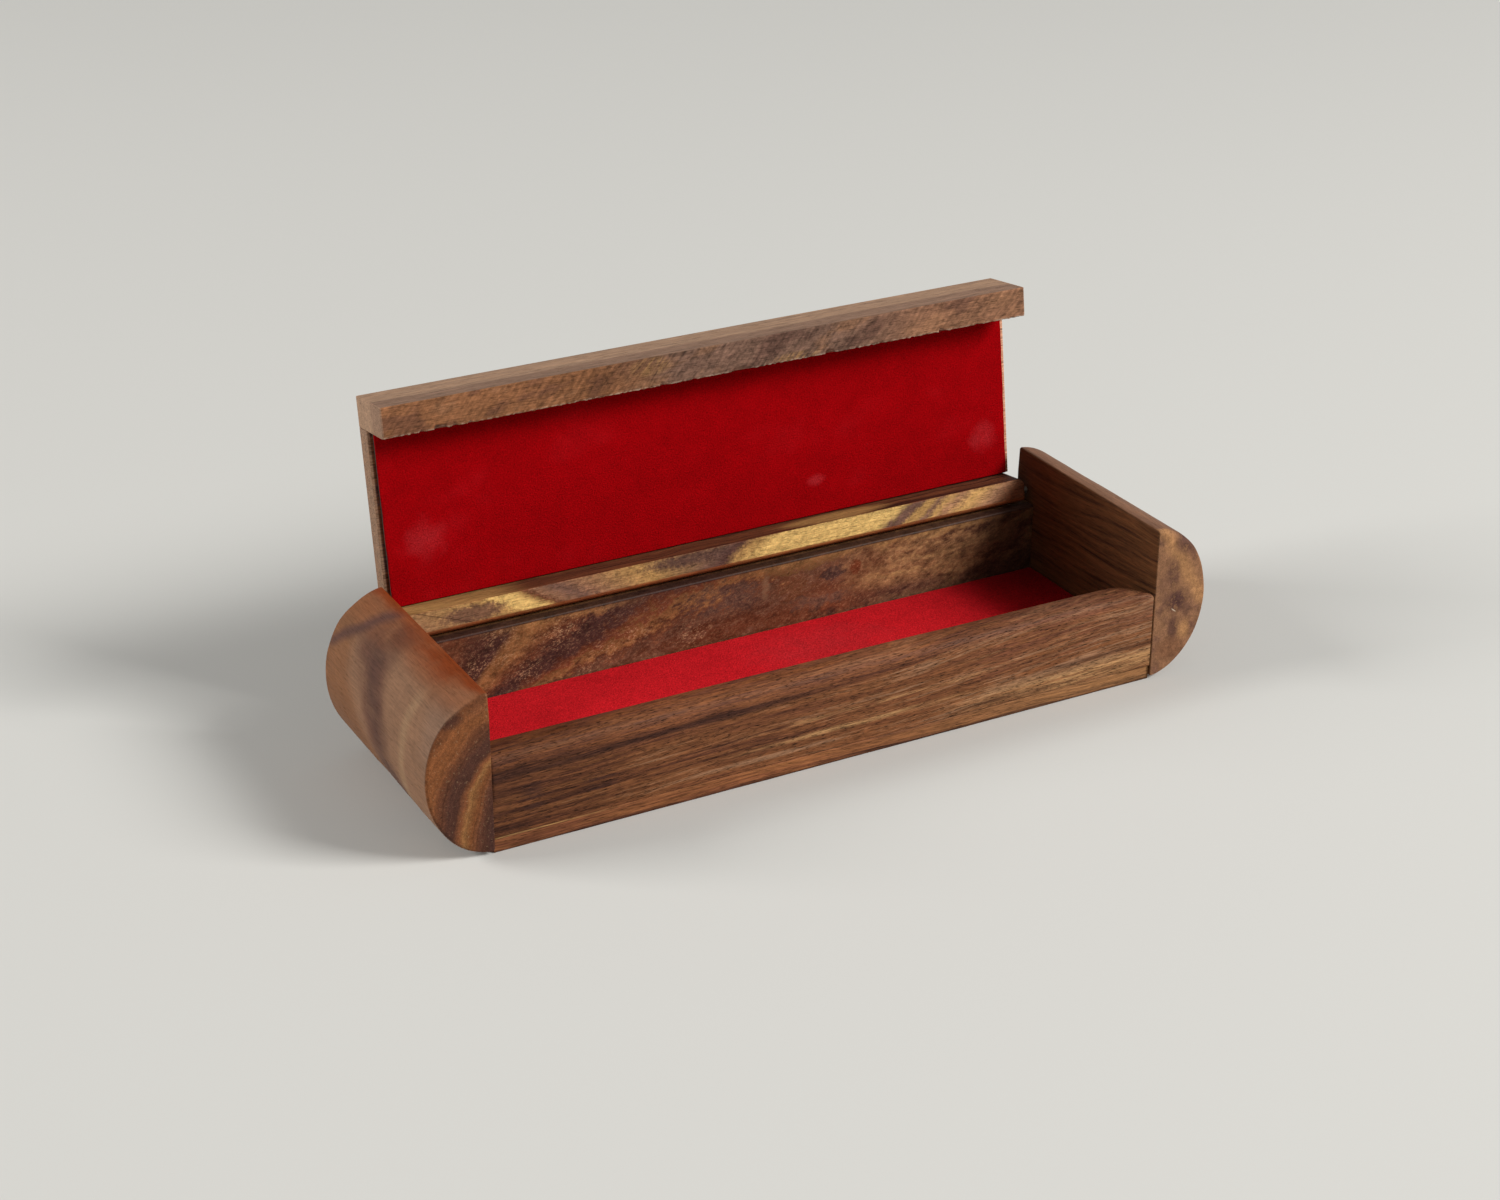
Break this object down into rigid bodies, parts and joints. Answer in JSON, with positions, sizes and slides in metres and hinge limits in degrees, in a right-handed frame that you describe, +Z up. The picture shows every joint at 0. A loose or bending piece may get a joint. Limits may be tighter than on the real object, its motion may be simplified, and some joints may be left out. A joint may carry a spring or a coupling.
{
  "type": "wooden pen box",
  "caption": "Low wooden pen box with half-round solid end blocks, a velvet floor, and a velvet-lined lid that turns on hidden pins.",
  "frame": {"origin": "centre of the underside of the bottom board", "axes": "+X along the box to the right as seen from the front, -Y towards the front, +Z up"},
  "size_m": [0.222, 0.0803, 0.0904],
  "materials": {
    "left_block_wood": "dark rosewood, softly sanded, thin oil",
    "right_block_wood": "dark rosewood, softly sanded, thin oil",
    "front_panel_wood": "dark rosewood, straight grain, thin oil",
    "back_panel_wood": "dark mottled rosewood, oiled",
    "bottom_board_wood": "dark rosewood, sanded",
    "floor_board_wood": "plain light wood, unfinished",
    "lid_panel_wood": "rosewood, sanded",
    "lip_wood": "grey-brown rosewood, sawn inside face",
    "rail_wood": "golden sapwood with dark heartwood patches, sawn face",
    "dowel_wood": "plain light wood",
    "card": "grey card",
    "velvet": "deep red velvet, rubbed in places",
    "steel": "plain wire"
  },
  "bodies": {
    "box": {"left_end_block": "left_block_wood", "right_end_block": "right_block_wood", "front_panel": "front_panel_wood", "back_panel": "back_panel_wood", "bottom_board": "bottom_board_wood", "floor_board": "floor_board_wood", "floor_card": "card", "floor_lining": "velvet", "left_hinge_pin": "steel", "right_hinge_pin": "steel", "front_panel_dowels": "dowel_wood", "back_panel_dowels": "dowel_wood", "bottom_brads": "steel"},
    "lid": {"lid_panel": "lid_panel_wood", "lid_front_lip": "lip_wood", "lid_rear_rail": "rail_wood", "lid_card": "card", "lid_lining": "velvet"}
  },
  "joints": [
    {"name": "lid_hinge", "type": "hinge", "parent": "box", "child": "lid", "pos_m": [0, 0.02855, 0.0318], "axis": [1, 0, 0], "range_deg": [0, 98]}
  ]
}
